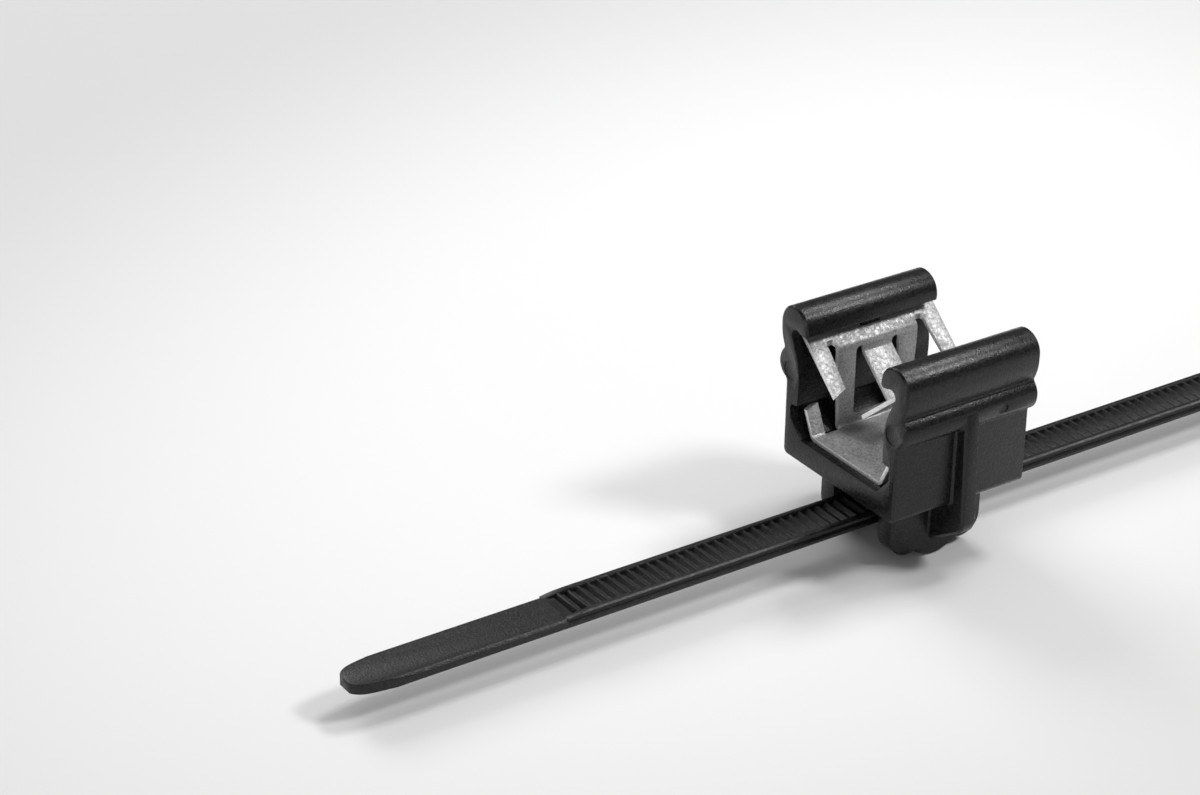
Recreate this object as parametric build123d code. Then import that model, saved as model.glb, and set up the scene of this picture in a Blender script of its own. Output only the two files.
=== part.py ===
"""Cable edge clip: a moulded U clip with a barbed spring insert, and the cable tie that runs through it.

Millimetres. X runs along the tie, with its head towards +X. Y runs across the clip. +Z is up, and the clip's
mouth opens upwards. The origin is where a panel's edge comes to rest: the middle of the insert's plate.
Every height below is measured from the outer face of the clip's base, and all pieces are lowered at the end.
"""
from build123d import *
from math import atan2, cos, hypot, radians, sin, tan
import os

# Moulded housing: the channel. Wall outlines list (distance inwards from the wall's outer face, height).
clip_length = 15.2
channel_width = 16.3
floor_thickness = 2.35
outer_corner_radius = 0.7
inner_wall = ((0.9, 11.8), (1.15, 11.2), (1.5, 10.4), (1.76, 9.5), (1.92, 8.5), (1.92, 7.2), (1.82, 5.6))
tab_recess = ((1.05, 5.5), (0.8, 4.95), (0.95, 4.1))
floor_edge_inset = 2.5
end_edge_bevel = 0.2

# Moulded housing: bead and rolled lip of each wall
bead_low_height = 7.7
bead_height = 9.15
bead_proud = 1.15
bead_root_radius = 0.35
waist_height = 10.7
waist_proud = 0.45
waist_radius = 0.35
lip_proud = 1.05
lip_radius = 1.95
lip_low_height = 13.0
lip_height = 13.35
lip_tip_height = 13.15
lip_tip_underside = (2.45, 12.75)
pocket_mouth = (1.75, 13.0)
pocket_crown = (0.85, 12.95)
pocket_wall = (0.62, 12.35)

# Moulded housing: nib under each lip, in a notch of the insert
nib_width = 2.2
nib_shift = 0.6
nib_inset = 1.75
nib_low_height = 11.75
nib_root_inset = 0.8
nib_root_low_height = 12.15
nib_root_high_height = 13.3
nib_clearance = 0.1

# Moulded housing: saddle for the tie, and the gusset rib of each wall
tunnel_clearance_side = 1.0
tunnel_clearance_below = 0.25
plate_thickness = 2.05
plate_length = 10.4
ear_radius = 2.1
ear_height = 3.72
ear_spacing = 6.2
lobe_radius = 3.3
lobe_height = 3.29
notch_radius = 0.35
crossbar_radius = 2.1
crossbar_inset = 0.1
plate_edge_bevel = 0.2
rib_width = 1.65
rib_crest_height = 10.55
rib_crest_proud = 0.5
rib_bead_height = 9.45
rib_bead_proud = 1.25
rib_foot_proud = 1.65
rib_bend_height = -2.1
rib_bend_radius = 1.8
rib_end_height = -4.85
rib_edge_bevel = 0.25
rib_root_radius = 0.3
pin_mark_offset = 3.5
pin_mark_radius = 0.55
pin_mark_depth = 0.12
end_mark_radius = 0.95
end_mark_inset = 0.7
end_mark_height = 8.8
end_mark_depth = 0.06

# Spring insert, bent from one strip. Half sizes along X are measured from the insert's own middle.
sheet = 0.4
insert_length = 14.7
insert_shift = 0.64
leg_face = 5.2
sheet_bend_radius = 0.4
jaw_height = 11.0
jaw_angle = 41.0
band_reach = 7.02
barb_tip_reach = 1.9
barb_width = 1.5
barb_root_width = 1.77
barb_slant = 0.6
leg_inner = 2.5
leg_outer = 4.25
leg_outer_top = 4.6
leg_taper_height = 9.75
window_height = 3.65
relief_reach = 5.95
slot_end_radius = 0.33
centre_barb_width = 3.2
centre_barb_root_height = 10.0
centre_barb_length = 5.4
side_slot_height = 10.6
tab_width = 1.4
tab_bend_reach = 4.85
tab_reach = 5.95
tab_height = 5.05
tab_rise = 0.4
tab_slot_reach = 4.85
tab_slot_radius = 0.4

# Cable tie: strap. Heights across the strap are measured from its smooth face.
strap_width = 4.6
strap_thickness = 1.3
strap_height = -3.55
tie_length = 200.0
tail_reach = 59.0
tail_thickness = 1.0
tail_taper = 6.0
tail_tip_width = 1.6
tail_length = 21.0
ladder_ramp = 0.6
rail_lead = 0.2
rail_ramp = 2.4
rail_width = 0.6
rail_root = 0.02
tooth_lead = 3.0
tooth_pitch = 1.05
tooth_floor = 0.8
tooth_top = 1.16
tooth_crest = 0.22
tooth_steep = 0.08
tooth_flank = 0.32
smooth_root = 8.0
groove_depth = 0.22
groove_low = 0.42
groove_high = 0.86
strap_edge = 0.16
tail_edge = 0.24
tail_edge_root = 0.5
tail_shoulder = (2.7, 0.322)

# Cable tie: head. Outlines list (from the head's far end to the strap, rise over the strap's smooth face).
head_width = 6.3
head_length = 8.4
head_block = ((8.4, -4.1), (7.3, -4.9), (4.9, -4.9), (0.0, -3.6), (0.0, 0.3))
head_arch = ((0.0, 0.3), (3.6, 1.6), (7.1, -0.75))
head_shoulder = ((7.1, -0.75), (8.4, -0.75))
cap_radius = 2.0
cap_centre = (2.15, 0.6)
cap_root = 0.3
side_wall = 0.75
slot_start = 1.35
slot_end = 4.45
slot_ledge = -1.35
pawl_outline = ((1.2, -3.5), (2.1, -3.3), (2.75, -1.4), (2.95, 0.9), (2.3, 1.3), (2.05, -0.9), (1.2, -2.3))
hinge_outline = ((0.9, -3.5), (1.5, -3.4), (1.5, -2.45), (0.9, -2.45))
pawl_side_gap = 0.25
head_edge_bevel = 0.25

# Reach of a cutting or joining body past the face that it meets.
overlap = 1.0

half_length = clip_length / 2
wall_face = channel_width / 2
stop_height = floor_thickness + sheet
strap_half = strap_width / 2
strap_top = strap_height + strap_thickness
tunnel_half = strap_half + tunnel_clearance_side
crossbar_top = strap_height - tunnel_clearance_below
crossbar_height = lobe_height + lobe_radius - crossbar_radius - crossbar_inset
plate_face = tunnel_half + plate_thickness
insert_half = insert_length / 2
head_end = tie_length - tail_reach
head_root = head_end - head_length


def wall_points(outline, sign=-1):
    """Turn (distance from the wall's outer face, height) pairs into points of the YZ section."""
    return [(wall_face + sign * distance, height) for distance, height in outline]


def channel_section():
    """Half of the channel's section: floor, wall with its tab recess, bead, rolled lip and its pocket."""
    inner = wall_points(inner_wall)
    recess = wall_points(tab_recess)
    under, mouth, crown, pocket = wall_points((lip_tip_underside, pocket_mouth, pocket_crown, pocket_wall))
    bead_root = (wall_face, bead_low_height)
    waist = (wall_face + waist_proud, waist_height)
    lip_face = wall_face + lip_proud
    lip_tip = lip_face - 2 * lip_radius
    corner = outer_corner_radius
    outline = Line((0, 0), (wall_face - corner, 0))
    outline += CenterArc((wall_face - corner, corner), corner, -90, 90)
    outline += Line((wall_face, corner), bead_root)
    outline += ThreePointArc(bead_root, (wall_face + bead_proud, bead_height), waist)
    outline += TangentArc((lip_face, lip_low_height), waist, tangent=(0, -1))
    outline += Line((lip_face, lip_low_height), (lip_face, lip_height))
    outline += CenterArc((lip_face - lip_radius, lip_height), lip_radius, 0, 180)
    outline += Line((lip_tip, lip_height), (lip_tip, lip_tip_height))
    outline += TangentArc((lip_tip, lip_tip_height), under, tangent=(0, -1))
    outline += Line(under, mouth)
    outline += ThreePointArc(mouth, crown, pocket)
    outline += Line(pocket, inner[0])
    outline += Spline(*inner)
    floor_edge = (wall_face - floor_edge_inset, floor_thickness)
    outline += Polyline(inner[-1], *recess, floor_edge, (0, floor_thickness), (0, 0))
    section = make_face(outline)
    for point, radius in ((bead_root, bead_root_radius), (waist, waist_radius)):
        near = [v for v in section.vertices() if hypot(v.X - point[0], v.Y - point[1]) < 0.001]
        section = fillet(near, radius)
    return section


def channel():
    """The channel over its whole length, with bevelled outer edges at both ends."""
    section = channel_section()
    section += mirror(section, Plane.YZ)
    body = extrude(Plane.YZ * section, half_length)
    end = body.faces().sort_by(Axis.X)[-1]
    inside = wall_face - lip_tip_underside[0]
    outer = end.edges().filter_by(
        lambda e: e.center().Z < 0.01 or abs(e.center().Y) > wall_face - 0.01
        or (e.center().Z > pocket_wall[1] and abs(e.center().Y) < inside) or e.center().Z > lip_height)
    body = chamfer(outer, end_edge_bevel)
    return body + mirror(body, Plane.YZ)


def nibs():
    """Nib under each lip that reaches into the insert's notch."""
    inner = wall_face - nib_inset
    root = wall_face - nib_root_inset
    outline = Polyline(
        (inner, nib_low_height), (root, nib_root_low_height), (root, nib_root_high_height),
        (inner, nib_root_high_height), (inner, nib_low_height))
    nib = extrude(Plane.YZ.offset(nib_shift) * make_face(outline), nib_width / 2, both=True)
    return nib + mirror(nib, Plane.XZ)


def saddle():
    """Two eared side plates and the crossbar between them, under the channel's floor."""
    plate_height = floor_thickness / 2 + ear_height
    outline = Pos(0, (floor_thickness - plate_height) / 2) * Rectangle(plate_length, plate_height)
    for side in (-1, 1):
        outline += Pos(side * ear_spacing / 2, -ear_height) * Circle(ear_radius)
    outline += Pos(0, -lobe_height) * Circle(lobe_radius)
    notches = outline.vertices().filter_by(lambda v: v.Y < -ear_height - 0.1)
    outline = fillet(notches, notch_radius)
    plate = extrude(Plane.XZ.offset(-tunnel_half) * outline, -plate_thickness)
    rims = plate.edges().filter_by(lambda e: e.center().Z < 0 and abs(e.center().Y - plate_face) < 0.01)
    plate = chamfer(rims, plate_edge_bevel)
    round_bar = Pos(0, -crossbar_height) * Circle(crossbar_radius)
    bar = round_bar - Pos(0, crossbar_top + crossbar_radius) * Rectangle(2 * lobe_radius, 2 * crossbar_radius)
    bar = extrude(Plane.XZ * bar, tunnel_half + plate_thickness / 2, both=True)
    return plate + mirror(plate, Plane.XZ) + bar


def rib():
    """Gusset rib from the waist of one wall, over the bead and down to the saddle's plate."""
    inside = wall_face - bead_root_radius
    foot = wall_face + rib_foot_proud
    inner = (plate_face + tunnel_half) / 2
    outline = Polyline(
        (inside, rib_crest_height), (wall_face + rib_crest_proud, rib_crest_height),
        (wall_face + rib_bead_proud, rib_bead_height), (foot, 0), (foot, rib_bend_height),
        (plate_face, rib_end_height), (inner, rib_end_height), (inner, floor_thickness / 2),
        (inside, floor_thickness / 2), (inside, rib_crest_height))
    section = make_face(outline)
    corner = section.vertices().filter_by(lambda v: v.X > foot - 0.01 and v.Y < rib_bend_height + 0.01)
    section = fillet(corner, rib_bend_radius)
    web = extrude(Plane.YZ * section, rib_width / 2, both=True)
    rims = web.edges().filter_by(lambda e: abs(abs(e.center().X) - rib_width / 2) < 0.01)
    crest_reach = wall_face + rib_crest_proud - 0.01
    rims = rims.filter_by(lambda e: e.center().Y > crest_reach or e.center().Z < rib_bend_height)
    rims = rims.filter_by(lambda e: e.center().Y > plate_face)
    return chamfer(rims, rib_edge_bevel)


def rib_roots(body):
    """Edges where the ribs' sides meet the walls, the base and the saddle's plates."""
    sides = body.edges().filter_by(lambda e: abs(abs(e.center().X) - rib_width / 2) < 0.01)
    return sides.filter_by(
        lambda e: plate_face - 0.01 < abs(e.center().Y) < wall_face + 0.01
        and rib_bend_height - rib_root_radius * 2 < e.center().Z < bead_low_height)


def housing():
    """Moulded channel with saddle, ribs, nibs and the shallow marks of the ejector pins."""
    web = rib()
    body = channel() + saddle() + web + mirror(web, Plane.XZ)
    body = fillet(rib_roots(body), rib_root_radius) + nibs()
    for side in (1, -1):
        middle = wall_face + bead_proud - pin_mark_depth + overlap / 2
        mark = Pos(pin_mark_offset, side * middle, bead_height)
        body -= mark * Rot(90, 0, 0) * Cylinder(pin_mark_radius, overlap)
        for end in (1, -1):
            centre = (end * half_length, side * (wall_face - end_mark_inset), end_mark_height)
            body -= Pos(*centre) * Rot(0, 90, 0) * Cylinder(end_mark_radius, 2 * end_mark_depth)
    return body


def bent_sheet(points, thickness, radius):
    """Section of a bent sheet: a path along one face, the thickness to its right and rounded bends."""
    angles = [atan2(b[1] - a[1], b[0] - a[0]) for a, b in zip(points, points[1:])]
    back = []
    for index, point in enumerate(points):
        before = angles[max(index - 1, 0)]
        after = angles[min(index, len(angles) - 1)]
        middle = (before + after) / 2
        reach = thickness / cos((after - before) / 2)
        back.append((point[0] + reach * sin(middle), point[1] - reach * cos(middle)))
    section = make_face(Polyline(*points, *reversed(back), points[0]))
    for index in range(1, len(points) - 1):
        turn_left = angles[index] > angles[index - 1]
        for corner, inside in ((points[index], turn_left), (back[index], not turn_left)):
            near = [v for v in section.vertices() if hypot(v.X - corner[0], v.Y - corner[1]) < 0.001]
            section = fillet(near, radius if inside else radius + thickness)
    return section


def slope_plane(reach, height):
    """Plane of a barb's upper face: X along the clip, Y outwards and up the slope."""
    angle = radians(jaw_angle)
    return Plane(origin=(0, reach, height), x_dir=(1, 0, 0), z_dir=(0, -sin(angle), cos(angle)))


def side_blank():
    """One side of the strip before it is cut: half of the plate, the leg and the band."""
    slope = tan(radians(jaw_angle))
    band_end = (band_reach, jaw_height + (band_reach - leg_face) * slope)
    path = [(0, stop_height), (leg_face, stop_height), (leg_face, jaw_height), band_end]
    return extrude(Plane.YZ * bent_sheet(path, sheet, sheet_bend_radius), insert_half, both=True)


def block(low, high):
    """Box between two opposite corners."""
    sizes = [abs(b - a) for a, b in zip(low, high)]
    middle = [(a + b) / 2 for a, b in zip(low, high)]
    return Pos(*middle) * Box(*sizes)


def end_cuts(end):
    """Cuts at one end of a side: above the tab, beside the leg, and the slot between leg and barb."""
    tall = 2 * jaw_height
    root = insert_half - barb_root_width
    outer = insert_half + sheet
    beyond = relief_reach + sheet
    zone = block((end * root, tab_slot_reach, 0), (end * outer, relief_reach, tall))
    beside = block((end * leg_outer_top, tab_slot_reach, 0), (end * outer, relief_reach - slot_end_radius, tall))
    slot = Pos(end * (leg_outer_top + root) / 2, (tab_slot_reach + relief_reach) / 2) * Rectangle(
        root - leg_outer_top, relief_reach - tab_slot_reach)
    slot = extrude(fillet(slot.vertices().group_by(Axis.Y)[-1], slot_end_radius), tall)
    flank = Polyline(
        (end * leg_outer, 0), (end * leg_outer, window_height), (end * leg_outer_top, leg_taper_height),
        (end * outer, leg_taper_height), (end * outer, 0), (end * leg_outer, 0))
    plan = Rectangle(outer - leg_outer, beyond - tab_slot_reach)
    plan = Pos(end * (outer + leg_outer) / 2, (beyond + tab_slot_reach) / 2) * plan
    foot = plan.vertices().sort_by_distance((end * leg_outer, tab_slot_reach, 0))[0]
    low = extrude(Plane.XZ * make_face(flank), -beyond) & extrude(fillet(foot, tab_slot_radius), tall)
    return [zone + beside + slot, low]


def window_cut():
    """Cut in the leg for the centre barb, with a rounded slot up each side of the barb's root."""
    gap_radius = (leg_inner - centre_barb_width / 2) / 2
    slot_top = side_slot_height - gap_radius
    outline = Pos(0, (window_height + centre_barb_root_height) / 2) * Rectangle(
        2 * leg_inner, centre_barb_root_height - window_height)
    for end in (-1, 1):
        outline += Pos(end * (leg_inner - gap_radius), slot_top) * Circle(gap_radius)
        outline += Pos(end * (leg_inner - gap_radius), (centre_barb_root_height + slot_top) / 2) * Rectangle(
            2 * gap_radius, slot_top - centre_barb_root_height)
    outline = fillet(outline.vertices().group_by(Axis.Y)[0], gap_radius)
    return extrude(Plane.XZ.offset(-leg_face + sheet) * outline, -3 * sheet)


def outer_barb(end):
    """Barb at one end of a side: a blade down the slope with a slanted tip."""
    run = cos(radians(jaw_angle))
    inner = insert_half - barb_width
    root = insert_half - barb_root_width
    tip = (barb_tip_reach - leg_face) / run
    top = (relief_reach + sheet - leg_face) / run
    outline = Polyline(
        (end * root, top), (end * root, 0), (end * inner, tip + barb_slant), (end * insert_half, tip),
        (end * insert_half, top), (end * root, top))
    return extrude(slope_plane(leg_face, jaw_height) * make_face(outline), -sheet)


def corner_tab(end):
    """Tab at one corner of the plate, bent up towards the wall, with a slanted top edge."""
    top = tab_height + tab_rise
    lean = (tab_reach - tab_bend_reach) / (tab_height - stop_height)
    path = [(0, stop_height), (tab_bend_reach, stop_height), (tab_reach + tab_rise * lean, top)]
    inner = insert_half - tab_width
    middle = Plane.YZ.offset(end * (insert_half - tab_width / 2))
    tab = extrude(middle * bent_sheet(path, sheet, sheet_bend_radius), tab_width / 2, both=True)
    slant = make_face(Polyline(
        (end * inner, top), (end * insert_half, tab_height), (end * insert_half, top + sheet),
        (end * inner, top + sheet), (end * inner, top)))
    return tab - extrude(Plane.XZ * slant, -wall_face)


def centre_barb():
    """Barb bent inwards out of the window, with the strip of the leg above it."""
    angle = radians(jaw_angle)
    root = centre_barb_root_height
    barb_end = (leg_face - centre_barb_length * cos(angle), root - centre_barb_length * sin(angle))
    path = [barb_end, (leg_face, root), (leg_face, side_slot_height)]
    return extrude(Plane.YZ * bent_sheet(path, sheet, sheet_bend_radius), centre_barb_width / 2, both=True)


def jaw():
    """One side of the insert, centred on X = 0: legs, band, outer barbs, centre barb and corner tabs."""
    side = side_blank() - [*end_cuts(-1), *end_cuts(1), window_cut()] + centre_barb()
    for end in (-1, 1):
        side += outer_barb(end) + corner_tab(end)
    notch = nib_width + 2 * nib_clearance
    notch_reach = wall_face - nib_inset - nib_clearance
    place = Pos(nib_shift - insert_shift, notch_reach + wall_face / 2, jaw_height)
    side -= place * Box(notch, wall_face, jaw_height)
    return side


def insert():
    """Bent strip of the spring insert, placed in the channel."""
    side = jaw()
    return Pos(insert_shift, 0, 0) * (side + mirror(side, Plane.XZ))


def strap():
    """Strap of the tie: tapered plain tail, side rails with a ramped start, and the ladder of teeth."""
    start = -tail_reach
    plain_end = start + tail_length
    core_half = strap_half - rail_width
    teeth_end = head_root - smooth_root

    outline = [(start, 0), (start, tail_thickness), (plain_end, tail_thickness)]
    outline.append((plain_end + ladder_ramp, tooth_floor))
    x = plain_end + tooth_lead
    while x + tooth_pitch < teeth_end:
        crest_end = x + tooth_flank + tooth_crest
        outline += [(x, tooth_floor), (x + tooth_flank, tooth_top), (crest_end, tooth_top)]
        outline.append((crest_end + tooth_steep, tooth_floor))
        x += tooth_pitch
    outline += [(x, tooth_floor), (x + tooth_flank, strap_thickness), (head_root + overlap, strap_thickness)]
    outline += [(head_root + overlap, 0), (start, 0)]
    core = extrude(Plane.XZ * make_face(Polyline(*outline)), core_half + rail_root, both=True)

    edge = strap_edge
    face = strap_half
    groove = face - groove_depth
    inside = core_half
    rail = Polyline(
        (inside, 0), (face - edge, 0), (face, edge), (face, groove_low),
        (groove, (groove_low + groove_high) / 2), (face, groove_high), (face, strap_thickness - edge),
        (face - edge, strap_thickness), (inside + edge / 2, strap_thickness),
        (inside, strap_thickness - edge), (inside, 0))
    rail_start = plain_end - rail_lead
    rail = extrude(Plane.YZ.offset(rail_start) * make_face(rail), head_root + overlap - rail_start)
    wedge = make_face(Polyline(
        (rail_start - overlap, tail_thickness), (rail_start, tail_thickness),
        (rail_start + rail_ramp, strap_thickness), (rail_start + rail_ramp, strap_thickness + overlap),
        (rail_start - overlap, strap_thickness + overlap), (rail_start - overlap, tail_thickness)))
    rail -= extrude(Plane.XZ * wedge, strap_width, both=True)

    side = Polyline(
        (inside - tail_edge_root, 0), (face - edge, 0), (face, edge), (face, tail_thickness - tail_edge),
        (face - tail_edge, tail_thickness), (inside - tail_edge_root, tail_thickness),
        (inside - tail_edge_root, 0))
    side = extrude(Plane.YZ.offset(start) * make_face(side), rail_start - start)

    body = core + rail + mirror(rail, Plane.XZ) + side + mirror(side, Plane.XZ)
    tip_corner = (start, tail_tip_width / 2)
    shoulder = (start + tail_shoulder[0], strap_half - tail_shoulder[1])
    taper_end = (start + tail_taper, strap_half)
    outside = strap_half + overlap
    corner = make_face(Line((start - overlap, tail_tip_width / 2), tip_corner)
                       + Spline(tip_corner, shoulder, taper_end, tangents=((0.55, 1), (1, 0)))
                       + Polyline(taper_end, (start + tail_taper, outside), (start - overlap, outside),
                                  (start - overlap, tail_tip_width / 2)))
    corner = extrude(corner, 2 * strap_thickness, both=True)
    body -= [corner, mirror(corner, Plane.XZ)]
    return Pos(0, 0, strap_height) * body


def head_points(outline):
    """Turn (from the head's far end, rise over the smooth face) pairs into points of the XZ plane."""
    return [(head_end - along, strap_height - rise) for along, rise in outline]


def head():
    """Head of the tie: block with arched side walls, rounded cap, through slot and pawl."""
    outline = Polyline(*head_points(head_shoulder), *head_points(head_block))
    outline += ThreePointArc(*head_points(head_arch))
    block = extrude(Plane.XZ * make_face(outline), head_width / 2, both=True)
    rims = block.edges().filter_by(lambda e: abs(abs(e.center().Y) - head_width / 2) < 0.01)
    block = chamfer(rims, head_edge_bevel)
    inside = head_width / 2 - side_wall

    centre_x, centre_z = head_points((cap_centre,))[0]
    cap = extrude(Plane.XZ * Pos(centre_x, centre_z) * Circle(cap_radius), inside + cap_root, both=True)
    cap = chamfer(cap.edges().filter_by(GeomType.CIRCLE), head_edge_bevel)
    block += cap

    (start_x, ledge_z), (end_x, _) = head_points(((slot_start, slot_ledge), (slot_end, slot_ledge)))
    deep = 4 * cap_radius
    slot_middle = (start_x + end_x) / 2
    block -= Pos(slot_middle, 0, strap_height) * Box(start_x - end_x, 2 * inside, 2 * deep)
    root = head_end - head_length
    clear = Pos((end_x + root) / 2, 0, strap_height - deep / 2) * Box(end_x - root + 0.01, 2 * inside, deep)
    block -= clear

    outline = head_points(pawl_outline)
    pawl = extrude(Plane.XZ * make_face(Polyline(*outline, outline[0])), inside - pawl_side_gap, both=True)
    hinge = head_points(hinge_outline)
    hinge = extrude(Plane.XZ * make_face(Polyline(*hinge, hinge[0])), inside - pawl_side_gap, both=True)
    return block + pawl + hinge


def main():
    """Build the pieces, lower them to the panel's stop and write one file for each."""
    os.makedirs("parts", exist_ok=True)
    pieces = {"clip_housing": housing(), "spring_insert": insert(), "cable_tie": strap() + head()}
    for name, piece in pieces.items():
        print(f"{name}: {len(piece.solids())} solid, {piece.volume:.2f} mm3, valid {piece.is_valid}")
        export_step(Pos(0, 0, -stop_height) * piece, f"parts/{name}.step")


main()
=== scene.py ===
"""Dressed model of a cable edge clip: moulded clip, barbed spring insert and the tie through its saddle.

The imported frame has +X along the tie towards its head, +Y from wall to wall and +Z out of the clip's mouth.
Each sub-assembly is a class whose fields are its sizes and whose methods build and dress its meshes. Fields
of the sub-assemblies and of the camera are in millimetres, pixels or degrees. Those of finishes and lights
are in metres.
"""
import logging
import math
from dataclasses import dataclass
from enum import Enum
from typing import Sequence

import bmesh
import bpy
from mathutils import Matrix, Vector


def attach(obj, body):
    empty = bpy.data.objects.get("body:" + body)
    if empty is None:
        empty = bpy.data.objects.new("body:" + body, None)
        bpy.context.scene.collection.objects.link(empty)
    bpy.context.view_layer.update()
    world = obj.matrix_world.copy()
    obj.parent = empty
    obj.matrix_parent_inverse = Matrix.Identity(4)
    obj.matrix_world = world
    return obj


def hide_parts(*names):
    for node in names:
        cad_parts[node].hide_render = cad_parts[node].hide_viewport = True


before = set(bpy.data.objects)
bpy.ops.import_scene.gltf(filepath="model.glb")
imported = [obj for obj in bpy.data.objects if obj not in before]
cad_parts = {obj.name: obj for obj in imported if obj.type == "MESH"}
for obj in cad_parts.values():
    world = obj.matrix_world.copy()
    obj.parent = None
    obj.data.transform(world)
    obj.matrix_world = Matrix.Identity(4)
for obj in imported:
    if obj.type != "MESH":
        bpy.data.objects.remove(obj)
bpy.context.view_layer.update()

MM = 0.001
ORIGIN = (0.0, 0.0, 0.0)
WHITE = (1.0, 1.0, 1.0, 1.0)

# Size of the photograph in pixels, and the width of the camera's sensor.
PHOTO_WIDTH = 1200
PHOTO_HEIGHT = 795
SENSOR_WIDTH = 36.0

# Angles between faces, in degrees: below the first they are one flat, above the second an edge stays sharp
# in the smooth shading, and above the third it gets a bevel.
FLAT_ANGLE = 2.0
SHADING_ANGLE = 35.0
BEVEL_ANGLE = 40.0
BEVEL_SEGMENTS = 2
MERGE_DISTANCE = 0.002

# Values between which nearly all of a noise lies.
NOISE_LOW = 0.3
NOISE_HIGH = 0.7

# Place of the cut edges' finish among the materials of the insert's strip; its near-white colour is bare
# sheared steel and a painted highlight along the edges.
CUT_EDGE_SLOT = 1

log = logging.getLogger("edge_clip")

Point = tuple[float, float, float]
Colour = tuple[float, float, float]
Stop = tuple[float, Colour]


class Body(Enum):
    """Rigid bodies that pieces ride on."""

    CLIP = "clip"
    TIE = "tie"


class Slot(Enum):
    """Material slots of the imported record."""

    HOUSING = "housing_plastic"
    SPRING = "spring_steel"
    TIE = "tie_plastic"


@dataclass(frozen=True)
class Noise:
    """Look of a noise texture.

    Attributes:
        scale: Cells for each metre.
        detail: Octaves of the noise.
        roughness: How strongly the finer octaves show.
    """

    scale: float
    detail: float = 2.0
    roughness: float = 0.6


class Graph:
    """Small helper that adds nodes to a material and joins them."""

    def __init__(self, name: str) -> None:
        """Start a material with an empty node tree and a Principled shader.

        Args:
            name: Name of the material.
        """
        self.material = bpy.data.materials.new(name)
        self.material.use_nodes = True
        self.tree = self.material.node_tree
        self.tree.nodes.clear()
        self.output = self.add("ShaderNodeOutputMaterial")
        self.shader = self.add("ShaderNodeBsdfPrincipled")
        self.link(self.shader, "BSDF", self.output, "Surface")
        self.coords = self.add("ShaderNodeTexCoord")

    def add(self, kind: str, **settings: object) -> bpy.types.Node:
        """Add a node and set its properties.

        Args:
            kind: Blender's type name of the node.
            **settings: Properties of the node by name.

        Returns:
            The new node.
        """
        node = self.tree.nodes.new(kind)
        for key, value in settings.items():
            setattr(node, key, value)
        return node

    def link(self, source: bpy.types.Node, output: str, target: bpy.types.Node, socket: str) -> None:
        """Join one node's output to another node's input."""
        self.tree.links.new(source.outputs[output], target.inputs[socket])

    def scaled(self, scale: Point, **settings: object) -> bpy.types.Node:
        """Object coordinates through a Mapping node.

        Args:
            scale: Scale along X, Y and Z.
            **settings: Properties of the Mapping node by name.

        Returns:
            The Mapping node.
        """
        mapping = self.add("ShaderNodeMapping", **settings)
        mapping.inputs["Scale"].default_value = scale
        self.link(self.coords, "Object", mapping, "Vector")
        return mapping

    def noise(self, look: Noise) -> bpy.types.Node:
        """Noise texture on Object coordinates.

        Args:
            look: Scale, octaves and roughness of the noise.

        Returns:
            The Noise Texture node.
        """
        texture = self.add("ShaderNodeTexNoise")
        texture.inputs["Scale"].default_value = 1.0
        texture.inputs["Detail"].default_value = look.detail
        texture.inputs["Roughness"].default_value = look.roughness
        self.link(self.scaled((look.scale,) * 3), "Vector", texture, "Vector")
        return texture

    def cells(self, scale: float) -> bpy.types.Node:
        """Voronoi texture on Object coordinates.

        Args:
            scale: Cells for each metre.

        Returns:
            The Voronoi Texture node.
        """
        texture = self.add("ShaderNodeTexVoronoi")
        texture.inputs["Scale"].default_value = 1.0
        self.link(self.scaled((scale,) * 3), "Vector", texture, "Vector")
        return texture

    def ramp(self, source: bpy.types.Node, low: Stop, high: Stop) -> bpy.types.Node:
        """Colour ramp over a texture's factor.

        Args:
            source: Texture node that drives the ramp.
            low: Position and colour of the first stop.
            high: Position and colour of the last stop.

        Returns:
            The Color Ramp node.
        """
        ramp = self.add("ShaderNodeValToRGB")
        for element, (position, colour) in zip(ramp.color_ramp.elements, (low, high)):
            element.position = position
            element.color = (*colour, 1.0)
        self.link(source, "Fac", ramp, "Fac")
        return ramp

    def roughness(self, source: bpy.types.Node, output: str, low: float, high: float) -> None:
        """Drive the shader's roughness by a texture.

        Args:
            source: Texture node that drives the roughness.
            output: Name of its output.
            low: Roughness at the low end of the texture.
            high: Roughness at its high end.
        """
        spread = self.add("ShaderNodeMapRange")
        spread.inputs["From Min"].default_value = NOISE_LOW
        spread.inputs["From Max"].default_value = NOISE_HIGH
        spread.inputs["To Min"].default_value = low
        spread.inputs["To Max"].default_value = high
        self.link(source, output, spread, "Value")
        self.link(spread, "Result", self.shader, "Roughness")

    def bump(self, layers: Sequence[tuple[bpy.types.Node, str, float]]) -> None:
        """Stack bump layers on the shader's normal.

        Args:
            layers: Texture node, its output and the height of the relief in metres, from the lowest layer up.
        """
        below = None
        for source, output, height in layers:
            bump = self.add("ShaderNodeBump")
            bump.inputs["Strength"].default_value = 1.0
            bump.inputs["Distance"].default_value = height
            self.link(source, output, bump, "Height")
            if below is not None:
                self.link(below, "Normal", bump, "Normal")
            below = bump
        self.link(below, "Normal", self.shader, "Normal")


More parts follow.
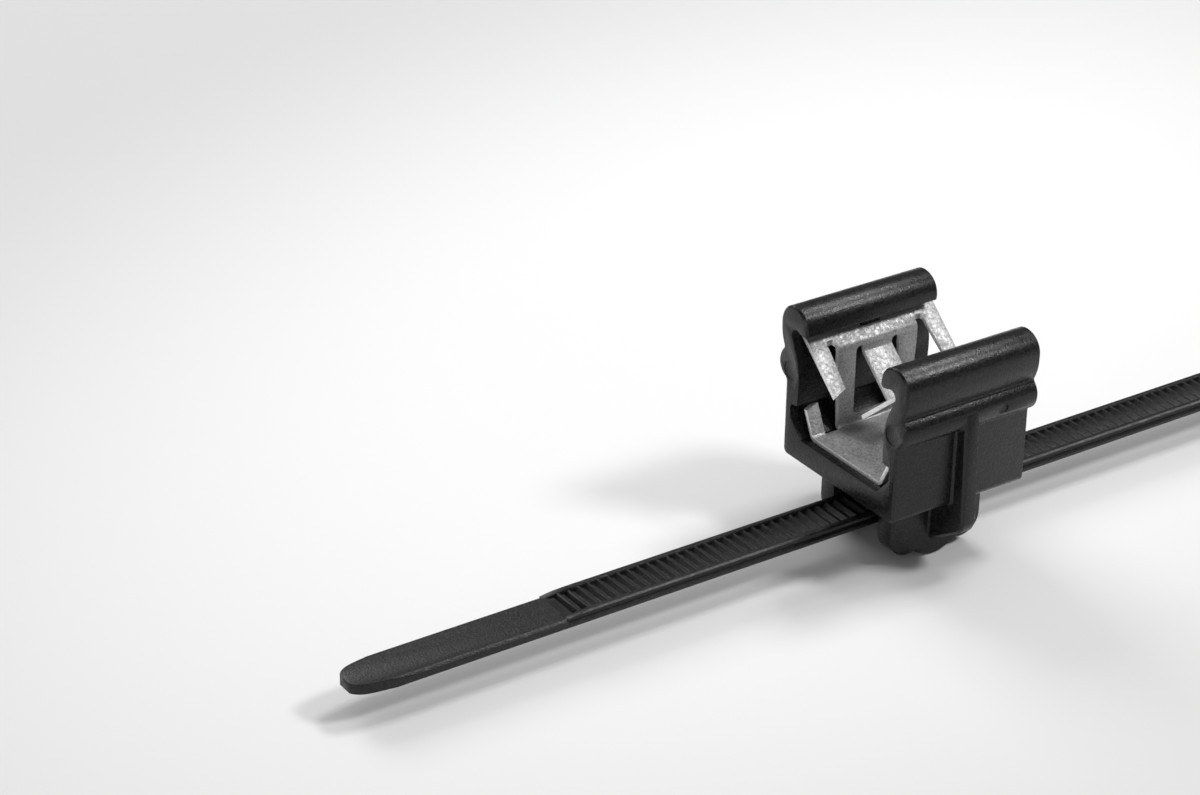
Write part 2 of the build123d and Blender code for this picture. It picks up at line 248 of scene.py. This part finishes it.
@dataclass(frozen=True)
class MouldedPlastic:
    """Black moulded plastic with a fine spark-eroded grain, cloudy gloss and pale scuffs.

    Attributes:
        name: Name of the material.
        tone: Middle value of the base colour.
        dark_share: Place of the dark stop and the tone's factors there.
        pale_share: Place of the pale stop and the tone's factors there.
        gloss: Specular level.
        roughness_low: Roughness of the shiniest patches.
        roughness_high: Roughness of the dullest patches.
        speck: Noise of the base colour.
        cloud: Noise of the roughness.
        grain: Noise of the fine relief.
        grain_height: Height of the fine relief.
        ripple: Noise of the wide relief.
        ripple_height: Height of the wide relief.
    """

    name: str
    tone: float = 0.006
    dark_share: Stop = (0.36, (0.2, 0.2, 0.22))
    pale_share: Stop = (0.66, (2.3, 2.35, 2.45))
    gloss: float = 0.34
    roughness_low: float = 0.22
    roughness_high: float = 0.38
    speck: Noise = Noise(4300.0, detail=3.0)
    cloud: Noise = Noise(1900.0, detail=3.0)
    grain: Noise = Noise(5600.0)
    grain_height: float = 0.00003
    ripple: Noise = Noise(900.0, roughness=0.5)
    ripple_height: float = 0.000012

    def shade(self, share: Stop) -> Stop:
        """Stop of the base colour, from the tone and a stop of its factors."""
        position, factors = share
        return position, tuple(self.tone * factor for factor in factors)

    def material(self) -> bpy.types.Material:
        """Build the material.

        Returns:
            The finished material.
        """
        graph = Graph(self.name)
        ramp = graph.ramp(graph.noise(self.speck), self.shade(self.dark_share), self.shade(self.pale_share))
        graph.link(ramp, "Color", graph.shader, "Base Color")
        graph.roughness(graph.noise(self.cloud), "Fac", self.roughness_low, self.roughness_high)
        graph.shader.inputs["Specular IOR Level"].default_value = self.gloss
        graph.bump([
            (graph.noise(self.ripple), "Fac", self.ripple_height),
            (graph.noise(self.grain), "Fac", self.grain_height)])
        return graph.material


@dataclass(frozen=True)
class GalvanisedSteel:
    """Zinc-coated spring steel: pale grey with a fine crystalline speckle and a dull sheen.

    Attributes:
        name: Name of the material.
        pale: Colour of the pale crystals.
        dark: Colour of the dark specks.
        pale_from: Value of the speckle above which it is pale.
        dark_to: Value of the speckle below which it is dark.
        metallic: How metallic the coat looks.
        roughness_low: Roughness in a crystal's middle.
        roughness_high: Roughness at its edge.
        speckle: Noise of the colour.
        spangle: Crystals for each metre.
        spangle_height: Height of the crystals' relief.
        pits: Noise of the fine relief.
        pit_height: Height of the fine relief.
    """

    name: str
    pale: Colour = (0.43, 0.43, 0.425)
    dark: Colour = (0.25, 0.25, 0.255)
    pale_from: float = 0.54
    dark_to: float = 0.4
    metallic: float = 0.6
    roughness_low: float = 0.4
    roughness_high: float = 0.56
    speckle: Noise = Noise(4800.0, detail=3.0, roughness=0.7)
    spangle: float = 2600.0
    spangle_height: float = 0.00001
    pits: Noise = Noise(5200.0)
    pit_height: float = 0.00003

    def material(self) -> bpy.types.Material:
        """Build the material.

        Returns:
            The finished material.
        """
        graph = Graph(self.name)
        ramp = graph.ramp(graph.noise(self.speckle), (self.dark_to, self.dark), (self.pale_from, self.pale))
        graph.link(ramp, "Color", graph.shader, "Base Color")
        graph.shader.inputs["Metallic"].default_value = self.metallic
        spangle = graph.cells(self.spangle)
        graph.roughness(spangle, "Distance", self.roughness_low, self.roughness_high)
        graph.bump([
            (spangle, "Distance", self.spangle_height),
            (graph.noise(self.pits), "Fac", self.pit_height)])
        return graph.material


@dataclass(frozen=True)
class PalePaper:
    """Plain pale sweep under the clip, with a painted pool of light: lighter in a wide oval round the clip
    and darker out towards the corners.

    Attributes:
        name: Name of the material.
        centre: Middle of the painted pool of light.
        reach: Half axes of the oval, where it has faded out.
        turn: Turn of the oval about Z in degrees.
        inner: Grey painted inside the pool of light.
        inner_from: Value of the gradient above which the oval is at its lightest.
        outer: Grey of the rest, a painted shade where the light falls off.
        roughness: Roughness of the paper.
    """

    name: str = "pale_sweep"
    centre: Point = (0.015, 0.04, 0.0)
    reach: Point = (0.16, 0.1, 1.0)
    turn: float = 25.0
    inner: float = 0.85
    inner_from: float = 0.75
    outer: float = 0.63
    roughness: float = 0.75

    def material(self) -> bpy.types.Material:
        """Build the material.

        Returns:
            The finished material.
        """
        graph = Graph(self.name)
        place = graph.scaled(self.reach, vector_type="TEXTURE")
        place.inputs["Location"].default_value = self.centre
        place.inputs["Rotation"].default_value = (0.0, 0.0, math.radians(self.turn))
        # The spherical gradient paints a pool of light round the clip and painted shade towards the corners.
        pool = graph.add("ShaderNodeTexGradient", gradient_type="SPHERICAL")
        graph.link(place, "Vector", pool, "Vector")
        ramp = graph.ramp(pool, (0.0, (self.outer,) * 3), (self.inner_from, (self.inner,) * 3))
        ramp.color_ramp.interpolation = "EASE"
        graph.link(ramp, "Color", graph.shader, "Base Color")
        graph.shader.inputs["Roughness"].default_value = self.roughness
        return graph.material


def make_piece(
        name: str, bm: bmesh.types.BMesh, material: bpy.types.Material, body: Body) -> bpy.types.Object:
    """Turn a bmesh into a smooth-shaded piece that rides on a body.

    Args:
        name: Name of the piece.
        bm: Mesh in metres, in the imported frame. It is freed.
        material: Finish of the piece.
        body: Body the piece rides on.

    Returns:
        The new object.
    """
    mesh = bpy.data.meshes.new(name)
    bm.to_mesh(mesh)
    bm.free()
    mesh.materials.append(material)
    mesh.shade_smooth()
    mesh.set_sharp_from_angle(angle=math.radians(SHADING_ANGLE))
    piece = bpy.data.objects.new(name, mesh)
    bpy.context.scene.collection.objects.link(piece)
    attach(piece, body.value)
    return piece


def merged_copy(node: str) -> bmesh.types.BMesh:
    """Copy a CAD node's mesh, join its loose triangles and clear the lines across its flats.

    Args:
        node: Name of the CAD node.

    Returns:
        The cleaned mesh.
    """
    bm = bmesh.new()
    bm.from_mesh(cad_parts[node].data)
    bmesh.ops.remove_doubles(bm, verts=bm.verts, dist=MERGE_DISTANCE * MM)
    bmesh.ops.dissolve_limit(bm, angle_limit=math.radians(FLAT_ANGLE), verts=bm.verts, edges=bm.edges)
    bm.normal_update()
    return bm


def soften(bm: bmesh.types.BMesh, width: float) -> None:
    """Bevel the sharp edges of a mesh.

    Args:
        bm: Mesh to change.
        width: Width of the bevel in millimetres.
    """
    sharp = math.radians(BEVEL_ANGLE)
    edges = [
        edge for edge in bm.edges
        if len(edge.link_faces) == 2 and abs(edge.calc_face_angle(0.0)) >= sharp]
    bmesh.ops.bevel(
        bm, geom=edges, offset=width * MM, offset_type="OFFSET", segments=BEVEL_SEGMENTS, profile=0.5,
        affect="EDGES", clamp_overlap=True, material=-1, loop_slide=True)


@dataclass
class ClipHousing:
    """Moulded clip: channel, beads, rolled lips, ribs and saddle.

    Attributes:
        edge_bevel: Width of the bevel on the moulding's sharp edges.
        crossbar_height: Z of the crossbar's axis.
        crossbar_radius: Distance from there to the crossbar's lowest line.
        line_length: Length of the parting line.
        line_radius: Radius of the parting line's ridge.
        line_sides: Flats round the ridge.
        plastic: Finish of the moulding.
    """

    edge_bevel: float = 0.11
    crossbar_height: float = -7.14
    crossbar_radius: float = 2.1
    line_length: float = 6.5
    line_radius: float = 0.07
    line_sides: int = 16
    plastic: MouldedPlastic = MouldedPlastic("housing_black")

    def parting_line(self, material: bpy.types.Material) -> bpy.types.Object:
        """Fine ridge that the mould leaves along the crossbar's lowest line.

        Args:
            material: Finish of the moulding.

        Returns:
            The ridge, half sunk in the crossbar.
        """
        radius = self.line_radius * MM
        bm = bmesh.new()
        bmesh.ops.create_cone(
            bm, cap_ends=True, segments=self.line_sides, radius1=radius, radius2=radius,
            depth=self.line_length * MM)
        along_y = Matrix.Rotation(math.radians(90.0), 3, "X")
        bmesh.ops.rotate(bm, cent=ORIGIN, matrix=along_y, verts=bm.verts)
        lowest = (self.crossbar_height - self.crossbar_radius) * MM
        bmesh.ops.translate(bm, vec=(0.0, 0.0, lowest), verts=bm.verts)
        return make_piece("crossbar_parting_line", bm, material, Body.CLIP)

    def build(self) -> list[bpy.types.Object]:
        """Build the moulding.

        Returns:
            The pieces of the housing.
        """
        bm = merged_copy("clip_housing")
        soften(bm, self.edge_bevel)
        plastic = self.plastic.material()
        body = make_piece("housing_moulding", bm, plastic, Body.CLIP)
        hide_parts("clip_housing")
        return [body, self.parting_line(plastic)]


@dataclass
class SpringInsert:
    """Bent strip with legs, barbs and corner tabs.

    Attributes:
        edge_bevel: Width of the bevel on the strip's sharp edges.
        cut_width: Width under which a face can be a cut edge.
        cut_facing: How squarely such a face looks along X, from 0 to 1.
        steel: Finish of the strip.
        cut_edge_steel_and_highlight: Finish of its cut edges: bare sheared steel, near white so that it is
            also a painted highlight along them.
    """

    edge_bevel: float = 0.05
    cut_width: float = 0.46
    cut_facing: float = 0.5
    steel: GalvanisedSteel = GalvanisedSteel("insert_zinc")
    # Near white and glossier than the strip: the shear's bare steel, and a painted highlight along the cut
    # edges.
    cut_edge_steel_and_highlight: GalvanisedSteel = GalvanisedSteel(
        "insert_cut_edge_and_highlight", pale=(0.95, 0.95, 0.945), dark=(0.78, 0.78, 0.78), metallic=0.5,
        roughness_low=0.3, roughness_high=0.42)

    def mark_cut_edges(self, bm: bmesh.types.BMesh) -> None:
        """Give the second, near-white material to the narrow faces that the shear left round the strip, which
        paints a highlight along them.

        Args:
            bm: Mesh of the strip.
        """
        for face in bm.faces:
            narrow = 2 * face.calc_area() < self.cut_width * MM * face.calc_perimeter()
            if narrow and abs(face.normal.x) > self.cut_facing:
                # These faces take the near-white finish, a painted highlight on the cut edges as well as
                # their bare steel.
                face.material_index = CUT_EDGE_SLOT

    def build(self) -> list[bpy.types.Object]:
        """Build the strip.

        Returns:
            The pieces of the insert.
        """
        bm = merged_copy("spring_insert")
        soften(bm, self.edge_bevel)
        self.mark_cut_edges(bm)
        strip = make_piece("insert_strip", bm, self.steel.material(), Body.CLIP)
        strip.data.materials.append(self.cut_edge_steel_and_highlight.material())
        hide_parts("spring_insert")
        return [strip]


@dataclass
class CableTie:
    """Tie: strap with rails and teeth, plain tail, and head with its pawl.

    Attributes:
        edge_bevel: Width of the bevel on the moulding's sharp edges.
        lead_starts: X of each lead tooth, where its foot starts on the tail's side.
        tooth_length: Length of a tooth's foot along the strap.
        tooth_width: Width of a tooth, which just reaches into the rails.
        tooth_foot: Z of the foot, slightly under the strap's floor.
        tooth_rise: Height of a tooth over its foot.
        crest_length: Length of the crest along the strap.
        crest_shift: How far the crest's middle lies from the foot's, towards the head.
        plastic: Finish of the moulding.
    """

    edge_bevel: float = 0.05
    lead_starts: tuple[float, ...] = (-37.1, -36.05)
    tooth_length: float = 0.62
    tooth_width: float = 3.42
    tooth_foot: float = -5.52
    tooth_rise: float = 0.38
    crest_length: float = 0.22
    crest_shift: float = 0.12
    plastic: MouldedPlastic = MouldedPlastic(
        "tie_black", tone=0.007, roughness_low=0.3, roughness_high=0.46, ripple_height=0.00002)

    def lead_teeth(self, material: bpy.types.Material) -> bpy.types.Object:
        """First teeth of the ladder, on the free floor between the rails' ramps and the solid's teeth.

        Args:
            material: Finish of the moulding.

        Returns:
            The teeth, slightly sunk in the floor.
        """
        bm = bmesh.new()
        for start in self.lead_starts:
            corners = bmesh.ops.create_cube(bm, size=1.0)["verts"]
            crest = [corner for corner in corners if corner.co.z > 0]
            bmesh.ops.scale(bm, vec=(self.tooth_length, self.tooth_width, self.tooth_rise), verts=corners)
            bmesh.ops.scale(bm, vec=(self.crest_length / self.tooth_length, 1.0, 1.0), verts=crest)
            bmesh.ops.translate(bm, vec=(self.crest_shift, 0.0, 0.0), verts=crest)
            middle = (start + self.tooth_length / 2, 0.0, self.tooth_foot + self.tooth_rise / 2)
            bmesh.ops.translate(bm, vec=middle, verts=corners)
        bmesh.ops.scale(bm, vec=(MM, MM, MM), verts=bm.verts)
        bm.normal_update()
        soften(bm, self.edge_bevel)
        return make_piece("tie_lead_teeth", bm, material, Body.TIE)

    def build(self) -> list[bpy.types.Object]:
        """Build the tie.

        Returns:
            The pieces of the tie.
        """
        bm = merged_copy("cable_tie")
        soften(bm, self.edge_bevel)
        plastic = self.plastic.material()
        strap = make_piece("tie_moulding", bm, plastic, Body.TIE)
        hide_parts("cable_tie")
        return [strap, self.lead_teeth(plastic)]


@dataclass(frozen=True)
class SoftLight:
    """Rectangular area light.

    Attributes:
        name: Name of the light.
        place: Where it hangs.
        size: Width and height.
        power: Power in watts.
        aim: Where it points.
    """

    name: str
    place: Point
    size: tuple[float, float]
    power: float
    aim: Point = ORIGIN

    def build(self) -> None:
        """Hang the light and turn it to its aim."""
        data = bpy.data.lights.new(self.name, "AREA")
        data.shape = "RECTANGLE"
        data.size, data.size_y = self.size
        data.energy = self.power
        light = bpy.data.objects.new(self.name, data)
        light.location = self.place
        light.rotation_mode = "QUATERNION"
        light.rotation_quaternion = (Vector(self.aim) - Vector(self.place)).to_track_quat("-Z", "Y")
        bpy.context.scene.collection.objects.link(light)


@dataclass
class Studio:
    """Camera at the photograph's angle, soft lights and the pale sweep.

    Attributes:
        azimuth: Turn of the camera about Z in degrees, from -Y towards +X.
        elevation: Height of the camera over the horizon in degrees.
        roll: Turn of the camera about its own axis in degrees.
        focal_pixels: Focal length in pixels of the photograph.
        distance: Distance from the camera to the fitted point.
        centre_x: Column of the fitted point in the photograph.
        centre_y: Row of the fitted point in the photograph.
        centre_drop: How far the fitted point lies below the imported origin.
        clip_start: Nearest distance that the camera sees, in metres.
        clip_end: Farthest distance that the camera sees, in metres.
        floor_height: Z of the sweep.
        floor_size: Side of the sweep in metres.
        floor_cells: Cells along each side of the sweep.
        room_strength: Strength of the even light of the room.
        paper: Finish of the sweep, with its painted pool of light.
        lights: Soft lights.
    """

    azimuth: float = -34.2
    elevation: float = 27.894
    roll: float = 0.768
    focal_pixels: float = 3250.1
    distance: float = 298.65
    centre_x: float = 902.03
    centre_y: float = 464.04
    centre_drop: float = 2.5
    clip_start: float = 0.01
    clip_end: float = 50.0
    floor_height: float = -9.34
    floor_size: float = 6.0
    floor_cells: int = 2
    room_strength: float = 0.16
    paper: PalePaper = PalePaper()
    lights: tuple[SoftLight, ...] = (
        SoftLight("back_scrim", (-0.05, 0.8, 0.62), (0.5, 0.5), 4.0),
        SoftLight("overhead_scrim", (0.05, 0.15, 0.9), (1.2, 1.0), 2.1, aim=(0.02, 0.0, 0.0)),
        SoftLight("key_softbox", (0.42, 0.02, 0.75), (0.22, 0.18), 2.5),
        SoftLight("low_key", (0.42, -0.4, 0.62), (0.18, 0.15), 3.1),
        SoftLight("side_strip", (-0.75, -0.35, 0.2), (0.08, 0.35), 0.9))

    def axes(self) -> tuple[Vector, Vector, Vector]:
        """Directions of the camera.

        Returns:
            Right, up and back, as unit vectors.
        """
        azimuth, elevation, roll = (math.radians(v) for v in (self.azimuth, self.elevation, self.roll))
        level = math.cos(elevation)
        back = Vector((math.sin(azimuth) * level, -math.cos(azimuth) * level, math.sin(elevation)))
        right = Vector((math.cos(azimuth), math.sin(azimuth), 0.0))
        up = back.cross(right)
        turned_right = math.cos(roll) * right + math.sin(roll) * up
        turned_up = math.cos(roll) * up - math.sin(roll) * right
        return turned_right, turned_up, back

    def camera(self) -> None:
        """Place the camera, so that the fitted point falls on its own pixel."""
        right, up, back = self.axes()
        across = (self.centre_x - PHOTO_WIDTH / 2) / self.focal_pixels * self.distance
        down = (self.centre_y - PHOTO_HEIGHT / 2) / self.focal_pixels * self.distance
        place = self.distance * back - across * right + down * up
        place.z -= self.centre_drop
        data = bpy.data.cameras.new("camera")
        data.sensor_fit = "HORIZONTAL"
        data.sensor_width = SENSOR_WIDTH
        data.lens = self.focal_pixels * SENSOR_WIDTH / PHOTO_WIDTH
        data.clip_start = self.clip_start
        data.clip_end = self.clip_end
        camera = bpy.data.objects.new("camera", data)
        bpy.context.scene.collection.objects.link(camera)
        turn = Matrix((right, up, back)).transposed().to_4x4()
        camera.matrix_world = Matrix.Translation(place * MM) @ turn
        bpy.context.scene.camera = camera

    def world(self) -> None:
        """Give the room an even pale light."""
        world = bpy.data.worlds.new("room")
        world.use_nodes = True
        background = world.node_tree.nodes["Background"]
        background.inputs["Color"].default_value = WHITE
        background.inputs["Strength"].default_value = self.room_strength
        bpy.context.scene.world = world
        bpy.context.scene.view_settings.view_transform = "Standard"

    def floor(self) -> None:
        """Lay the pale sweep under the clip."""
        bm = bmesh.new()
        bmesh.ops.create_grid(
            bm, x_segments=self.floor_cells, y_segments=self.floor_cells, size=self.floor_size / 2)
        bmesh.ops.translate(bm, vec=(0.0, 0.0, self.floor_height * MM), verts=bm.verts)
        mesh = bpy.data.meshes.new("sweep")
        bm.to_mesh(mesh)
        bm.free()
        mesh.materials.append(self.paper.material())
        floor = bpy.data.objects.new("sweep", mesh)
        bpy.context.scene.collection.objects.link(floor)

    def build(self) -> None:
        """Set up the whole studio."""
        self.camera()
        self.world()
        self.floor()
        for light in self.lights:
            light.build()


def main() -> None:
    """Build the studio and the sub-assemblies in order and report each piece."""
    logging.basicConfig(level=logging.INFO, format="%(name)s: %(message)s")
    Studio().build()
    for assembly in (ClipHousing(), SpringInsert(), CableTie()):
        for piece in assembly.build():
            log.info("%s built with %d faces", piece.name, len(piece.data.polygons))


if __name__ == "__main__":
    main()
